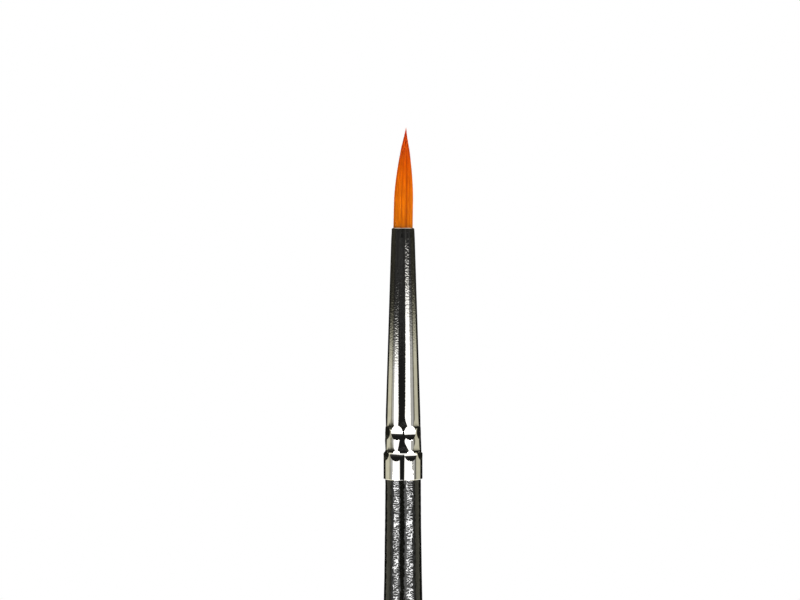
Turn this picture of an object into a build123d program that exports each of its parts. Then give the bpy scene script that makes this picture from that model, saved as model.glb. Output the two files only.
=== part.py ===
from build123d import *

import os
from math import cos, radians, sin, tan

# A fine detail brush: a pointed synthetic tuft in a crimped ferrule on a lacquered wooden handle.
# Millimetres. The origin is the middle of the grip, the thickest stretch of the handle, and +Z
# runs along the brush to the tip of the tuft. The pieces are drawn where they sit in the brush.

# Handle: a turned stick with a tenon in the ferrule, dipped in lacquer as far as the collar.
grip_radius = 2.6
grip_length = 12.0
grip_to_ferrule = 44.0
grip_to_butt = 90.7
neck_radius = 2.06
butt_radius = 1.3
tail_pull = 0.7
grip_pull = 1.2
lacquer_thickness = 0.16
lacquer_in_ferrule = 1.4
tenon_length = 12.5
tenon_tip_radius = 0.9
tenon_gap = 0.01

# Ferrule: a drawn tube, swaged in at the mouth and crimped on to the handle at its rear.
ferrule_length = 28.8
ferrule_wall = 0.175
collar_length = 2.95
collar_step = 0.124
collar_gap = 0.015
mouth_gap = 0.01
swage_length = 1.15
swage_depth = 0.06
rim_round = 0.1

# Crimps: two rings of dents, each dent pressed by a jaw with a rounded nose. The lower ring presses
# the shoulder between the collar and the tube, so its depth below the tube is small.
crimp_heights = (3.12, 5.49)
crimp_jaws = 8
crimp_turn = 24.0
crimp_depths = (0.03, 0.12)
crimp_nose = 2.9
crimp_jaw_gap = 0.02

# Tuft: filaments set in resin, tied with thread, and free from the mouth of the ferrule.
tuft_radius = 1.12
tuft_length = 11.5
tuft_straight = 3.45
tuft_middle = 7.6
tuft_middle_radius = 0.728
tuft_tip_radius = 0.05
tuft_tip_angle = 10.5
flex_limit = 45.0
flex_gap = 0.03
root_recess = 0.35
roots_below_thread = 1.9

# Resin round the roots, the thread that ties them, and the glue that holds the tenon.
resin_top_depth = 3.2
resin_cap = 1.2
resin_gap = 0.005
thread_radius = 0.09
thread_gap = 0.01
thread_turns = 4
thread_pitch = 0.24
thread_to_tube = 0.02
glue_above_crimp = 1.2
glue_length = 3.6
glue_gap = 0.005

# Places along the brush.
ferrule_rear = grip_to_ferrule
mouth = ferrule_rear + ferrule_length
tip = mouth + tuft_length
shoulder = ferrule_rear + lacquer_in_ferrule

# Sizes that one piece takes from another.
collar_radius = neck_radius + collar_gap + ferrule_wall
crimped_radius = collar_radius - collar_step
mouth_radius = tuft_radius + mouth_gap + ferrule_wall
throat_radius = mouth_radius + swage_depth
throat_height = ferrule_length - swage_length
flex_angle = radians(flex_limit)
flex_height = (tuft_radius - (tuft_radius + mouth_gap) * cos(flex_angle)) / sin(flex_angle) + flex_gap
flex_centre = mouth + flex_height
seat_inset = ferrule_wall + tenon_gap
coil_radius = tuft_radius + thread_gap + thread_radius
coil_height = thread_turns * thread_pitch
channel_radius = coil_radius + thread_radius + thread_gap


def tube_radius(height):
    """The ferrule's outer radius at a height above its rear edge, from the lower crimps to the throat."""
    share = (height - crimp_heights[0]) / (throat_height - crimp_heights[0])
    return (1 - share) * crimped_radius + share * throat_radius


def tube_height(radius):
    """The height above the ferrule's rear edge where its outer radius has shrunk to this one."""
    share = (crimped_radius - radius) / (crimped_radius - throat_radius)
    return crimp_heights[0] + share * (throat_height - crimp_heights[0])


def tenon_radius(height):
    """The radius of the tenon's tapered nose at a height above the ferrule's rear edge."""
    share = (height - crimp_heights[1]) / (tenon_length - crimp_heights[1])
    seat_radius = tube_radius(crimp_heights[1]) - seat_inset
    return (1 - share) * seat_radius + share * tenon_tip_radius


def tube_outline(inset):
    """Half of the ferrule's section as if it were solid, its skin moved inwards by inset."""
    with BuildLine() as outline:
        Polyline(
            (0, ferrule_rear),
            (collar_radius - inset, ferrule_rear),
            (collar_radius - inset, ferrule_rear + collar_length),
            (crimped_radius - inset, ferrule_rear + crimp_heights[0]),
            (throat_radius - inset, ferrule_rear + throat_height),
            (mouth_radius - inset, mouth),
            (0, mouth),
            close=True,
        )
    return outline.edges()


def handle_outline(inset):
    """Half of the handle's section from the butt into the ferrule, its skin moved inwards by inset."""
    butt = inset - grip_to_butt
    end_radius = butt_radius - inset
    with BuildLine() as outline:
        end = CenterArc((0, butt + end_radius), end_radius, 270, 90)
        tail = Spline(
            end @ 1,
            (grip_radius - inset, -grip_length / 2),
            tangents=[(0, 1), (0, 1)],
            tangent_scalars=[tail_pull, grip_pull],
        )
        grip = Line(tail @ 1, (grip_radius - inset, grip_length / 2))
        front = Spline(
            grip @ 1,
            (neck_radius - inset, ferrule_rear),
            tangents=[(0, 1), (0, 1)],
        )
        Polyline(front @ 1, (neck_radius - inset, shoulder), (0, shoulder), (0, butt))
    return outline.edges()


def press_crimps(grow):
    """Presses the two rings of jaws, thickened by grow, into the part being built."""
    for height, depth in zip(crimp_heights, crimp_depths):
        nose_end = tube_radius(height) - depth
        jaw_width = 2 * (nose_end - grow) * tan(radians(180 / crimp_jaws)) - crimp_jaw_gap
        with Locations((0, 0, ferrule_rear + height)):
            with PolarLocations(nose_end + crimp_nose, crimp_jaws, start_angle=crimp_turn - 90):
                Cylinder(crimp_nose + grow, jaw_width, rotation=(90, 0, 0), mode=Mode.SUBTRACT)


# The thread sits as near the mouth as the tube has room for it, and the roots end below it.
channel_top = ferrule_rear + tube_height(channel_radius + thread_to_tube + ferrule_wall)
coil_bottom = channel_top - thread_gap - thread_radius - coil_height
roots_end = coil_bottom - roots_below_thread

# The space inside the ferrule.
with BuildPart() as bore:
    with BuildSketch(Plane.XZ):
        make_face(tube_outline(ferrule_wall))
    revolve(axis=Axis.Z)
    press_crimps(ferrule_wall)

# Ferrule: nickel-plated brass tube.
with BuildPart() as ferrule:
    with BuildSketch(Plane.XZ):
        make_face(tube_outline(0))
    revolve(axis=Axis.Z)
    press_crimps(0)
    rims = ferrule.edges().filter_by(GeomType.CIRCLE).sort_by(Axis.Z)
    fillet([rims[0], rims[-1]], rim_round)
    add(bore.part, mode=Mode.SUBTRACT)
ferrule.part.label = "ferrule"

# Handle core: the bare wood, with a tenon that takes the ferrule and its crimps.
with BuildPart() as handle_core:
    with BuildSketch(Plane.XZ):
        make_face(handle_outline(lacquer_thickness))
    revolve(axis=Axis.Z)
    with BuildSketch(Plane.XZ):
        with BuildLine():
            Polyline(
                (0, shoulder),
                (neck_radius - lacquer_thickness, shoulder),
                (crimped_radius - seat_inset, ferrule_rear + crimp_heights[0]),
                (tenon_radius(crimp_heights[1]), ferrule_rear + crimp_heights[1]),
                (tenon_tip_radius, ferrule_rear + tenon_length),
                (0, ferrule_rear + tenon_length),
                close=True,
            )
        make_face()
    revolve(axis=Axis.Z)
    press_crimps(seat_inset)
handle_core.part.label = "handle_core"

# Handle lacquer: the dipped coat, a thin shell closed at the butt and open in the collar.
with BuildPart() as handle_lacquer:
    with BuildSketch(Plane.XZ):
        make_face(handle_outline(0))
        make_face(handle_outline(lacquer_thickness), mode=Mode.SUBTRACT)
    revolve(axis=Axis.Z)
handle_lacquer.part.label = "handle_lacquer"

# Tenon glue: a sleeve between the tenon's taper and the ferrule.
glue_bottom = crimp_heights[1] + glue_above_crimp
glue_top = glue_bottom + glue_length
with BuildPart() as tenon_glue:
    with BuildSketch(Plane.XZ):
        with BuildLine():
            Polyline(
                (tenon_radius(glue_bottom) + glue_gap, ferrule_rear + glue_bottom),
                (tube_radius(glue_bottom) - ferrule_wall - glue_gap, ferrule_rear + glue_bottom),
                (tube_radius(glue_top) - ferrule_wall - glue_gap, ferrule_rear + glue_top),
                (tenon_radius(glue_top) + glue_gap, ferrule_rear + glue_top),
                close=True,
            )
        make_face()
    revolve(axis=Axis.Z)
tenon_glue.part.label = "tenon_glue"

# Tuft: the free filaments as one solid, with a round root that rolls in the mouth as they bend.
with BuildPart() as tuft:
    with BuildSketch(Plane.XZ):
        with BuildLine():
            root = CenterArc((0, flex_centre), tuft_radius, 270, 90)
            side = Line(root @ 1, (tuft_radius, mouth + tuft_straight))
            taper = Spline(
                side @ 1,
                (tuft_middle_radius, mouth + tuft_middle),
                (tuft_tip_radius, tip),
                tangents=[(0, 1), (-sin(radians(tuft_tip_angle)), cos(radians(tuft_tip_angle)))],
            )
            Polyline(taper @ 1, (0, tip), root @ 0)
        make_face()
    revolve(axis=Axis.Z)
tuft.part.label = "tuft"

# Tuft roots: the same filaments where they are bound, hollowed for the tuft's round root.
with BuildPart() as tuft_roots:
    with Locations((0, 0, roots_end)):
        Cylinder(
            tuft_radius,
            mouth - root_recess - roots_end,
            align=(Align.CENTER, Align.CENTER, Align.MIN),
        )
    with Locations((0, 0, flex_centre)):
        Sphere(tuft_radius + flex_gap, mode=Mode.SUBTRACT)
tuft_roots.part.label = "tuft_roots"

# Tie thread: a few turns round the roots.
with BuildPart() as tie_thread:
    with BuildLine():
        coil = Helix(thread_pitch, coil_height, coil_radius, center=(0, 0, coil_bottom))
    with BuildSketch(Plane(origin=coil @ 0, z_dir=coil % 0)):
        Circle(thread_radius)
    sweep(is_frenet=True)
tie_thread.part.label = "tie_thread"

# Root resin: the plug that fills the ferrule round the roots, with room for the thread.
with BuildPart() as root_resin:
    with BuildSketch(Plane.XZ):
        make_face(tube_outline(ferrule_wall + resin_gap))
    revolve(axis=Axis.Z)
    with Locations((0, 0, ferrule_rear)):
        Cylinder(
            2 * collar_radius,
            roots_end - resin_cap - ferrule_rear,
            align=(Align.CENTER, Align.CENTER, Align.MIN),
            mode=Mode.SUBTRACT,
        )
    with Locations((0, 0, mouth)):
        Cylinder(
            2 * collar_radius,
            resin_top_depth,
            align=(Align.CENTER, Align.CENTER, Align.MAX),
            mode=Mode.SUBTRACT,
        )
        Cylinder(
            tuft_radius + resin_gap,
            mouth - roots_end + resin_gap,
            align=(Align.CENTER, Align.CENTER, Align.MAX),
            mode=Mode.SUBTRACT,
        )
    with Locations((0, 0, channel_top)):
        Cylinder(
            channel_radius,
            coil_height + 2 * (thread_radius + thread_gap),
            align=(Align.CENTER, Align.CENTER, Align.MAX),
            mode=Mode.SUBTRACT,
        )
root_resin.part.label = "root_resin"

os.makedirs("parts", exist_ok=True)
export_step(handle_core.part, "parts/handle_core.step")
export_step(handle_lacquer.part, "parts/handle_lacquer.step")
export_step(ferrule.part, "parts/ferrule.step")
export_step(tenon_glue.part, "parts/tenon_glue.step")
export_step(tuft.part, "parts/tuft.step")
export_step(tuft_roots.part, "parts/tuft_roots.step")
export_step(tie_thread.part, "parts/tie_thread.step")
export_step(root_resin.part, "parts/root_resin.step")
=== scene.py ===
import math

import bmesh
import bpy
import numpy as np
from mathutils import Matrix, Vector


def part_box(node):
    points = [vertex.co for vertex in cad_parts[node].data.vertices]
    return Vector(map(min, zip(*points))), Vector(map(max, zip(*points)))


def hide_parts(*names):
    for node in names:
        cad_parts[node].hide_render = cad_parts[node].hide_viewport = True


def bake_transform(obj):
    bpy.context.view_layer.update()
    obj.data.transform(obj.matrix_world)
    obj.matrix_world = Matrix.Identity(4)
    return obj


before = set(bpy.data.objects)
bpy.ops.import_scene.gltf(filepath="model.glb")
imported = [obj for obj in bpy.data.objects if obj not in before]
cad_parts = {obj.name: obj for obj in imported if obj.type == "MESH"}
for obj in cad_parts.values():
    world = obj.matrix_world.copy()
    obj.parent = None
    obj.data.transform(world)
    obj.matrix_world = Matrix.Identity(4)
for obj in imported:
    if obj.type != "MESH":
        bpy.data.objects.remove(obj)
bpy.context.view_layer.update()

MM = 0.001
ferrule_lo, ferrule_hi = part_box("ferrule")
tuft_lo, tuft_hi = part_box("tuft")
MOUTH = ferrule_hi[2]
REAR = ferrule_lo[2]
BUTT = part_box("handle_lacquer")[0][2]
TIP = tuft_hi[2]
TUFT_R = (tuft_hi[0] - tuft_lo[0]) / 2
TUFT_LEN = TIP - MOUTH
rng = np.random.default_rng(11)


# ---------------------------------------------------------------- node helpers
def material(name):
    mat = bpy.data.materials.new(name)
    mat.use_nodes = True
    tree = mat.node_tree
    bsdf = tree.nodes["Principled BSDF"]
    return mat, tree, bsdf


def link(tree, a, b):
    tree.links.new(a, b)


def ramp(tree, source, stops):
    n = tree.nodes.new("ShaderNodeValToRGB")
    element = n.color_ramp.elements
    element[0].position, element[0].color = stops[0][0], (*stops[0][1], 1)
    element[1].position, element[1].color = stops[-1][0], (*stops[-1][1], 1)
    for position, colour in stops[1:-1]:
        e = element.new(position)
        e.color = (*colour, 1)
    link(tree, source, n.inputs["Fac"])
    return n.outputs["Color"]


def grey(v):
    return (v, v, v)


def coordinates(tree, scale):
    tc = tree.nodes.new("ShaderNodeTexCoord")
    mp = tree.nodes.new("ShaderNodeMapping")
    mp.inputs["Scale"].default_value = scale
    link(tree, tc.outputs["Object"], mp.inputs["Vector"])
    return mp.outputs["Vector"]


def noise(tree, vector, scale, detail=3.0, rough=0.5, distortion=0.0):
    n = tree.nodes.new("ShaderNodeTexNoise")
    n.inputs["Scale"].default_value = scale
    n.inputs["Detail"].default_value = detail
    n.inputs["Roughness"].default_value = rough
    n.inputs["Distortion"].default_value = distortion
    link(tree, vector, n.inputs["Vector"])
    return n.outputs["Fac"]


def mix_rgb(tree, kind, fac, a, b):
    n = tree.nodes.new("ShaderNodeMix")
    n.data_type = "RGBA"
    n.blend_type = kind
    for source, socket in ((fac, 0), (a, 6), (b, 7)):
        if isinstance(source, (int, float)):
            n.inputs[socket].default_value = source
        elif isinstance(source, tuple):
            n.inputs[socket].default_value = (*source, 1)
        else:
            link(tree, source, n.inputs[socket])
    return n.outputs[2]


def math_node(tree, op, a, b=0.0, c=0.0):
    n = tree.nodes.new("ShaderNodeMath")
    n.operation = op
    for i, source in enumerate((a, b, c)):
        if isinstance(source, (int, float)):
            n.inputs[i].default_value = source
        else:
            link(tree, source, n.inputs[i])
    return n.outputs[0]


def bump(tree, height, strength, distance, normal=None):
    n = tree.nodes.new("ShaderNodeBump")
    n.inputs["Strength"].default_value = strength
    n.inputs["Distance"].default_value = distance
    link(tree, height, n.inputs["Height"])
    if normal is not None:
        link(tree, normal, n.inputs["Normal"])
    return n.outputs["Normal"]


def assign(obj, mat):
    if not obj.material_slots:
        obj.data.materials.append(mat)
    for s in obj.material_slots:
        s.material = mat


# ---------------------------------------------------------------- materials
def nickel():
    mat, tree, bsdf = material("nickel_plate")
    bsdf.inputs["Metallic"].default_value = 1.0
    bsdf.inputs["IOR"].default_value = 1.9
    fine = coordinates(tree, (1000, 1000, 1000))
    drawn = coordinates(tree, (1000, 1000, 60))
    mottle = noise(tree, fine, 1.1, 4.0, 0.6)
    tint = ramp(tree, mottle, [(0.3, (0.80, 0.78, 0.71)), (0.7, (0.90, 0.89, 0.86))])
    link(tree, tint, bsdf.inputs["Base Color"])
    streak = noise(tree, drawn, 7.0, 3.0, 0.6)
    rough = ramp(tree, streak, [(0.25, grey(0.015)), (0.85, grey(0.045))])
    link(tree, rough, bsdf.inputs["Roughness"])
    # The plate is smooth at the rear and pitted towards the mouth.
    up = tree.nodes.new("ShaderNodeSeparateXYZ")
    link(tree, coordinates(tree, (1, 1, 1)), up.inputs[0])
    climb = tree.nodes.new("ShaderNodeMapRange")
    climb.inputs["From Min"].default_value = REAR + 6 * MM
    climb.inputs["From Max"].default_value = MOUTH
    climb.inputs["To Min"].default_value = 0.1
    link(tree, up.outputs["Z"], climb.inputs["Value"])
    pits = math_node(tree, "MULTIPLY", noise(tree, fine, 5.0, 1.0, 0.5), climb.outputs[0])
    wave = noise(tree, drawn, 2.4, 2.0, 0.5)
    n1 = bump(tree, wave, 0.15, 0.00001)
    n2 = bump(tree, pits, 1.0, 0.000007, n1)
    link(tree, n2, bsdf.inputs["Normal"])
    return mat


def lacquer():
    mat, tree, bsdf = material("black_lacquer")
    fine = coordinates(tree, (1000, 1000, 1000))
    long = coordinates(tree, (1000, 1000, 500))
    dust = noise(tree, fine, 3.2, 4.0, 0.6)
    tint = ramp(tree, dust, [
        (0.35, (0.003, 0.003, 0.0025)),
        (0.75, (0.007, 0.007, 0.0055)),
    ])
    link(tree, tint, bsdf.inputs["Base Color"])
    rough = ramp(tree, noise(tree, long, 2.0, 3.0, 0.5), [(0.3, grey(0.02)), (0.8, grey(0.06))])
    link(tree, rough, bsdf.inputs["Roughness"])
    bsdf.inputs["IOR"].default_value = 1.6
    peel = noise(tree, fine, 3.2, 0.0, 0.4)
    sag = noise(tree, long, 1.1, 1.0, 0.4)
    n1 = bump(tree, sag, 1.0, 0.00002)
    n2 = bump(tree, peel, 1.0, 0.00002, n1)
    link(tree, n2, bsdf.inputs["Normal"])
    return mat


def wood():
    mat, tree, bsdf = material("bare_wood")
    grain = noise(tree, coordinates(tree, (1000, 1000, 45)), 1.6, 5.0, 0.6, 0.4)
    tint = ramp(tree, grain, [(0.3, (0.42, 0.26, 0.13)), (0.7, (0.66, 0.47, 0.28))])
    link(tree, tint, bsdf.inputs["Base Color"])
    bsdf.inputs["Roughness"].default_value = 0.6
    link(tree, bump(tree, grain, 0.3, 0.00003), bsdf.inputs["Normal"])
    return mat


def resin():
    mat, tree, bsdf = material("resin")
    cloud = noise(tree, coordinates(tree, (1000, 1000, 1000)), 1.2, 3.0, 0.5)
    tint = ramp(tree, cloud, [(0.3, (0.40, 0.24, 0.07)), (0.7, (0.58, 0.40, 0.16))])
    link(tree, tint, bsdf.inputs["Base Color"])
    bsdf.inputs["Roughness"].default_value = 0.25
    return mat


def glue():
    mat, tree, bsdf = material("glue")
    cloud = noise(tree, coordinates(tree, (1000, 1000, 1000)), 1.8, 3.0, 0.5)
    tint = ramp(tree, cloud, [(0.3, (0.60, 0.52, 0.33)), (0.7, (0.78, 0.72, 0.55))])
    link(tree, tint, bsdf.inputs["Base Color"])
    bsdf.inputs["Roughness"].default_value = 0.5
    return mat


def thread():
    mat, tree, bsdf = material("thread")
    twist = noise(tree, coordinates(tree, (1000, 1000, 3000)), 4.0, 3.0, 0.5)
    tint = ramp(tree, twist, [(0.3, (0.62, 0.58, 0.48)), (0.7, (0.86, 0.83, 0.75))])
    link(tree, tint, bsdf.inputs["Base Color"])
    bsdf.inputs["Roughness"].default_value = 0.8
    link(tree, bump(tree, twist, 0.4, 0.00002), bsdf.inputs["Normal"])
    return mat


def filament():
    """Dyed nylon, golden at the mouth and red-orange at the tip, a little different on each filament, with
    painted shade where the filaments leave the mouth.
    """
    mat, tree, bsdf = material("filament")
    tone = tree.nodes.new("ShaderNodeAttribute")
    tone.attribute_name = "tone"
    along = tree.nodes.new("ShaderNodeAttribute")
    along.attribute_name = "along"
    # The darker first stop, where the filaments leave the mouth, is painted shade from the ferrule's lip;
    # the other stops are the dye.
    tint = ramp(tree, along.outputs["Fac"], [
        (0.0, (0.50, 0.15, 0.006)),
        (0.05, (0.70, 0.18, 0.002)),
        (0.25, (0.80, 0.20, 0.002)),
        (0.60, (0.80, 0.145, 0.002)),
        (0.86, (0.82, 0.105, 0.003)),
        (0.97, (0.66, 0.035, 0.001)),
        (1.0, (0.80, 0.22, 0.01)),
    ])
    shade = ramp(tree, tone.outputs["Fac"], [
        (0.0, (0.42, 0.20, 0.12)),
        (0.35, (0.80, 0.62, 0.5)),
        (0.7, (1.0, 1.0, 1.0)),
        (1.0, (1.0, 1.0, 1.0)),
    ])
    base = mix_rgb(tree, "MULTIPLY", 1.0, tint, shade)
    flecks = noise(tree, coordinates(tree, (1000, 1000, 160)), 5.0, 3.0, 0.6)
    fleck = ramp(tree, flecks, [(0.3, (0.70, 0.62, 0.55)), (0.65, (1.0, 1.0, 1.0))])
    base = mix_rgb(tree, "MULTIPLY", 0.8, base, fleck)
    link(tree, base, bsdf.inputs["Base Color"])
    bsdf.inputs["Roughness"].default_value = 0.36
    bsdf.inputs["IOR"].default_value = 1.5
    bsdf.inputs["Specular IOR Level"].default_value = 0.25
    return mat


mats = {
    "ferrule": nickel(),
    "handle_lacquer": lacquer(),
    "handle_core": wood(),
    "root_resin": resin(),
    "tenon_glue": glue(),
    "tie_thread": thread(),
}
for name, mat in mats.items():
    assign(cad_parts[name], mat)
filament_mat = filament()


# ---------------------------------------------------------------- filaments
FIL_R = 0.036 * MM
FIL_PITCH = 0.074 * MM
FIL_STEPS = 15
FIL_SIDES = 5
FIL_SWAY = 0.018 * MM
TIP_LEAN = 0.345 * MM
ROOT_Z = MOUTH - 1.2 * MM


def outline(z):
    """The tuft's radius at z, a share of its free length from the mouth."""
    points = [
        (0.0, 1.0), (0.30, 0.985), (0.40, 0.935), (0.50, 0.85), (0.58, 0.76), (0.66, 0.655),
        (0.74, 0.545), (0.82, 0.43), (0.90, 0.30), (0.96, 0.20), (1.0, 0.12),
    ]
    xs, ys = zip(*points)
    return float(np.interp(z, xs, ys)) * TUFT_R


def lean(z):
    """How far the tuft's middle leans to +X, in metres, at a share of its length."""
    return TIP_LEAN * (0.25 * z + 0.75 * z ** 1.6)


def strand_mesh(strands, sides, name):
    """One mesh of tapered tubes. Each strand is (points, radii, tone, shares of the free length)."""
    verts, faces, tones, alongs = [], [], [], []
    for pts, radii, tone, shares in strands:
        n = len(pts)
        base = len(verts)
        pts = np.array(pts)
        tangent = np.gradient(pts, axis=0)
        tangent /= np.linalg.norm(tangent, axis=1)[:, None]
        for i in range(n):
            t = tangent[i]
            u = np.cross(t, (0.0, 1.0, 0.0))
            u /= np.linalg.norm(u)
            v = np.cross(t, u)
            for k in range(sides):
                a = 2 * math.pi * (k + 0.5) / sides
                verts.append(pts[i] + radii[i] * (math.cos(a) * u + math.sin(a) * v))
                tones.append(tone)
                alongs.append(shares[i])
        for i in range(n - 1):
            for k in range(sides):
                a = base + i * sides + k
                b = base + i * sides + (k + 1) % sides
                faces.append((a, b, b + sides, a + sides))
        faces.append(tuple(base + k for k in range(sides))[::-1])
        faces.append(tuple(base + (n - 1) * sides + k for k in range(sides)))
    mesh = bpy.data.meshes.new(name)
    mesh.from_pydata([tuple(v) for v in verts], [], faces)
    for key, values in (("tone", tones), ("along", alongs)):
        attr = mesh.attributes.new(key, "FLOAT", "POINT")
        attr.data.foreach_set("value", np.array(values, np.float32))
    mesh.polygons.foreach_set("use_smooth", [True] * len(mesh.polygons))
    mesh.update()
    obj = bpy.data.objects.new(name, mesh)
    bpy.context.scene.collection.objects.link(obj)
    mesh.materials.append(filament_mat)
    return obj


def places(pitch, radius):
    """Hexagonally packed places inside a circle, as unit-disc coordinates."""
    out = []
    rows = int(radius / pitch * 1.2) + 2
    for j in range(-rows, rows + 1):
        for i in range(-rows, rows + 1):
            x = (i + 0.5 * (j % 2)) * pitch
            y = j * pitch * math.sqrt(3) / 2
            if math.hypot(x, y) <= radius:
                out.append((x / radius, y / radius))
    return out


strands = []
start = (ROOT_Z - MOUTH) / TUFT_LEN
for x, y in places(FIL_PITCH, TUFT_R - FIL_R):
    rho = math.hypot(x, y)
    # The inner filaments reach the tip; the outer ones end along the taper.
    reach = 1.01 - 0.33 * rho ** 2.2 * rng.uniform(0.55, 1.0) - 0.10 * rng.random() ** 2
    shares = np.linspace(start, reach, FIL_STEPS)
    tone = float(np.clip(rng.normal(0.6, 0.25), 0, 1))
    wob = rng.normal(0, 1, 4)
    points, radii, along = [], [], []
    for share in shares:
        z = max(share, 0.0)
        r = outline(z) - FIL_R * 0.8
        inside = min(1.0, r / TUFT_R)
        sway_x = FIL_SWAY * wob[0] * math.sin(5 * z + wob[1]) * z * inside
        sway_y = FIL_SWAY * wob[2] * math.sin(5 * z + wob[3]) * z * inside
        points.append((x * r + sway_x + lean(z), y * r + sway_y, MOUTH + share * TUFT_LEN))
        end = 1 - (share - start) / (reach - start)
        radii.append(FIL_R * (0.30 + 0.70 * min(1.0, end * 2.4) ** 0.7))
        along.append(z)
    strands.append((points, radii, tone, along))
print("filaments", len(strands))
tuft = strand_mesh(strands, FIL_SIDES, "tuft_filaments")
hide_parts("tuft", "tuft_roots")
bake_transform(tuft)

# ---------------------------------------------------------------- stage and lights
CAM_X = -0.345 * MM
CAM_Z = MOUTH - 8.25 * MM
CAM_Y = 190.5 * MM
TENT_R = 1500 * MM
# Heights on the tent are given in millimetres as they would stand on a small tent of this radius.
SMALL_R = 150 * MM
TENT_SCALE = (1 + TENT_R / CAM_Y) / (1 + SMALL_R / CAM_Y)
SURROUND_R = 3.0
FLOOR_R = 0.45


def soft(x, low, high, edge):
    """1 between low and high, falling smoothly to 0 over edge on both sides."""
    def step(t):
        t = min(1.0, max(0.0, t))
        return t * t * (3 - 2 * t)
    return step((x - low) / edge + 0.5) * step((high - x) / edge + 0.5)


# The tent's light is a few plain panels. Azimuth is 0 towards the camera and + towards +X.
# Each panel: (left azimuth, right azimuth, side edge, bottom, top, fade, level).
DARK = 0.012
FLOOR = -400.0
TAPER_LIFT = 18.7
PANELS = [
    (52, 76, 12, FLOOR, 14, 16, 0.45),     # scrim beside the right softbox
    (-82, -64, 12, FLOOR, 8, 16, 0.45),    # scrim beside the left softbox
    (84, 122, 10, FLOOR, 14, 16, 0.55),    # right cream card
    (-124, -86, 10, FLOOR, 10, 16, 0.60),  # left cream card
    (-60, -28, 6, -48, -37.5, 2, 22.0),    # strip lamp low in the left softbox
    (22, 62, 6, -48, -37.5, 2, 20.0),      # strip lamp low in the right softbox
]
SOFTBOX = 1.5
BACK_LIGHT = 1.3
GROUND_BOUNCE = 0.8
OVERHEAD = 0.9


def softboxes(az, z):
    """The two softboxes, which lean apart towards the top."""
    lean_z = min(10.0, max(-30.0, z))
    right = soft(az, 17 + 0.3 * lean_z, 52, 4.0) * soft(z, FLOOR, 20, 14.0)
    left = soft(az, -64, -33 - 0.45 * lean_z, 5.0) * soft(z, FLOOR, 8, 12.0)
    return SOFTBOX * (left + right)


def glow(az, z):
    """The tent's level at an azimuth and a height."""
    # The ferrule's taper throws its gloss upwards, the less so the further round it is seen.
    z += TAPER_LIFT * (1 - math.cos(math.radians(az / 2))) * soft(z, -25, 100, 10.0)
    level = DARK + softboxes(az, z)
    for left, right, edge, bottom, top, fade, strength in PANELS:
        level += strength * soft(az, left, right, edge) * soft(z, bottom, top, fade)
    level += BACK_LIGHT * soft(abs(az), 170, 200, 4.0) * soft(z, FLOOR, 45, 10.0)
    level += GROUND_BOUNCE * soft(z, -2000, -95, 60.0)
    level += OVERHEAD * soft(z, 232, 2000, 35.0)
    return level


def cream(az):
    """How cream the tent is at an azimuth: 1 on the cards at the sides."""
    return soft(abs(az), 78, 142, 10.0)


def stage_mesh(name, verts, faces, mat):
    mesh = bpy.data.meshes.new(name)
    mesh.from_pydata(verts, [], faces)
    mesh.materials.append(mat)
    obj = bpy.data.objects.new(name, mesh)
    bpy.context.scene.collection.objects.link(obj)
    return obj


def emission(name, strength):
    mat = bpy.data.materials.new(name)
    mat.use_nodes = True
    tree = mat.node_tree
    tree.nodes.clear()
    em = tree.nodes.new("ShaderNodeEmission")
    em.inputs["Strength"].default_value = strength
    out = tree.nodes.new("ShaderNodeOutputMaterial")
    link(tree, em.outputs[0], out.inputs[0])
    return mat, tree, em


# A light tent round the brush, seen only in its gloss.
tent_mat, tree, em = emission("tent", 1.0)
attr = tree.nodes.new("ShaderNodeAttribute")
attr.attribute_name = "glow"
link(tree, attr.outputs["Color"], em.inputs["Color"])
tent_mat.cycles.emission_sampling = "NONE"
heights = np.concatenate([
    np.arange(-1100, -260, 60), np.arange(-260, -60, 10), np.arange(-60, -30, 0.75), np.arange(-30, 40, 1.5),
    np.arange(40, 260, 15), np.arange(260, 1101, 60),
])
azimuths = np.arange(-180, 180, 1.5)
specks = rng.random((len(heights), len(azimuths) // 3)) ** 4
verts, colours, faces = [], [], []
for j, z in enumerate(heights):
    for i, az in enumerate(azimuths):
        r = math.radians(az)
        level = glow(az, z) + 0.08 * specks[j, i // 3] * soft(z, 8, 60, 12.0)
        blue = 1.0 - 0.24 * cream(az)
        verts.append((TENT_R * math.sin(r), -TENT_R * math.cos(r), CAM_Z + z * MM * TENT_SCALE))
        colours.append((level, level * (1.0 - 0.03 * cream(az)), level * blue, 1.0))
n = len(azimuths)
for j in range(len(heights) - 1):
    for i in range(n):
        k = (i + 1) % n
        faces.append((j * n + i, j * n + k, (j + 1) * n + k, (j + 1) * n + i))
tent = stage_mesh("tent", verts, faces, tent_mat)
attribute = tent.data.attributes.new("glow", "FLOAT_COLOR", "POINT")
attribute.data.foreach_set("color", np.array(colours, np.float32).ravel())
tent.visible_camera = False
tent.visible_diffuse = False
tent.visible_transmission = False
tent.visible_shadow = False

# White surround that only the camera sees, and a pale floor under the butt.
bm = bmesh.new()
bmesh.ops.create_icosphere(bm, subdivisions=3, radius=SURROUND_R)
mesh = bpy.data.meshes.new("surround")
bm.to_mesh(mesh)
bm.free()
surround = bpy.data.objects.new("surround", mesh)
bpy.context.scene.collection.objects.link(surround)
mesh.materials.append(emission("surround", 1.0)[0])
for key in ("diffuse", "glossy", "transmission", "volume_scatter", "shadow"):
    setattr(surround, "visible_" + key, False)

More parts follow.
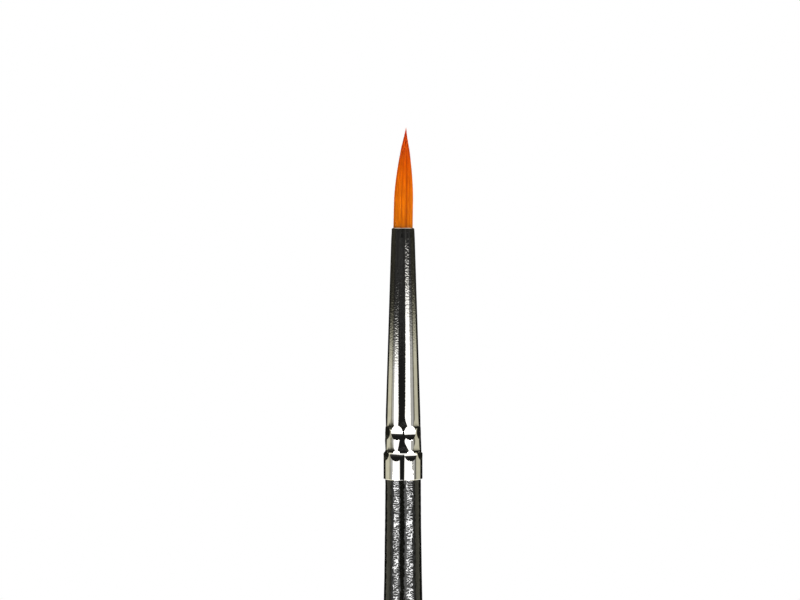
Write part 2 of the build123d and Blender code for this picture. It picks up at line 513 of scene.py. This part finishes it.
floor_mat, tree, bsdf = material("floor")
bsdf.inputs["Base Color"].default_value = (0.9, 0.9, 0.89, 1)
bsdf.inputs["Roughness"].default_value = 0.8
bsdf.inputs["Emission Color"].default_value = (1, 1, 1, 1)
bsdf.inputs["Emission Strength"].default_value = 0.7
ring = []
for i in range(96):
    a = 2 * math.pi * i / 96
    ring.append((FLOOR_R * math.cos(a), FLOOR_R * math.sin(a), BUTT - 0.2 * MM))
floor = stage_mesh("floor", ring, [tuple(range(96))], floor_mat)
floor.visible_glossy = False


def area(name, az, elevation, distance, size, power):
    light = bpy.data.lights.new(name, "AREA")
    light.shape = "DISK"
    light.size = size
    light.energy = power
    obj = bpy.data.objects.new(name, light)
    bpy.context.scene.collection.objects.link(obj)
    a, e = math.radians(az), math.radians(elevation)
    centre = Vector((0, 0, (MOUTH + BUTT) / 2))
    way = Vector((math.sin(a) * math.cos(e), -math.cos(a) * math.cos(e), math.sin(e)))
    obj.location = centre + way * distance
    obj.rotation_euler = way.to_track_quat("Z", "Y").to_euler()
    obj.visible_glossy = False
    obj.visible_camera = False
    return obj


area("key", 24, 28, 0.8, 0.3, 4.2)
area("fill", -28, 20, 0.8, 0.3, 2.2)
area("top", 10, 80, 0.8, 0.6, 2.0)
area("rim", 180, 35, 0.8, 0.6, 6.0)

world = bpy.data.worlds.new("world")
bpy.context.scene.world = world
world.use_nodes = True
world.node_tree.nodes["Background"].inputs["Color"].default_value = (0.02, 0.02, 0.019, 1)
world.node_tree.nodes["Background"].inputs["Strength"].default_value = 1.0

# ---------------------------------------------------------------- camera
cam = bpy.data.cameras.new("camera")
cam.lens = 74.56
cam.sensor_width = 36.0
cam.clip_start = 0.005
cam.clip_end = 20
cam_obj = bpy.data.objects.new("camera", cam)
bpy.context.scene.collection.objects.link(cam_obj)
cam_obj.location = (CAM_X, -CAM_Y, CAM_Z)
cam_obj.rotation_euler = (math.radians(90), 0, 0)
bpy.context.scene.camera = cam_obj
bpy.context.scene.view_settings.view_transform = "Standard"
